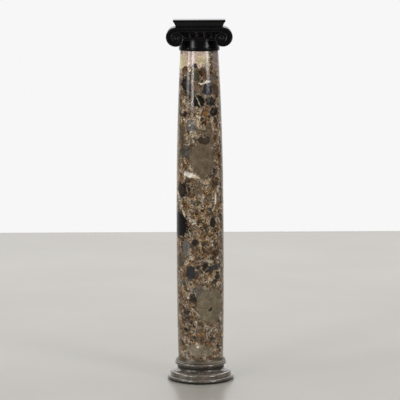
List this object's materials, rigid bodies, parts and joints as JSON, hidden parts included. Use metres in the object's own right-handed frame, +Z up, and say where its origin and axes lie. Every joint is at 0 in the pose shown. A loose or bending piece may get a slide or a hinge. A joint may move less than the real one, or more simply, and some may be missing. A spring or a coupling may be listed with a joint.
{
  "type": "marble column",
  "caption": "Free-standing decorative stone column with a moulded round base, a swelling breccia shaft and a black carved Ionic capital under a square abacus.",
  "frame": {"origin": "centre of the underside of the base, on the floor", "axes": "+Z up along the column's axis; the carved scroll faces look towards -Y and +Y, and the rolls lie towards -X and +X"},
  "size_m": [0.2182, 0.2182, 1.1799],
  "materials": {
    "base_marble": "polished grey-brown marble",
    "breccia": "polished brown, ochre and black breccia marble with cream veins",
    "black_marble": "black, carved and softly polished"
  },
  "bodies": {
    "root": {"base": "base_marble", "shaft": "breccia", "capital": "black_marble"}
  },
  "joints": []
}
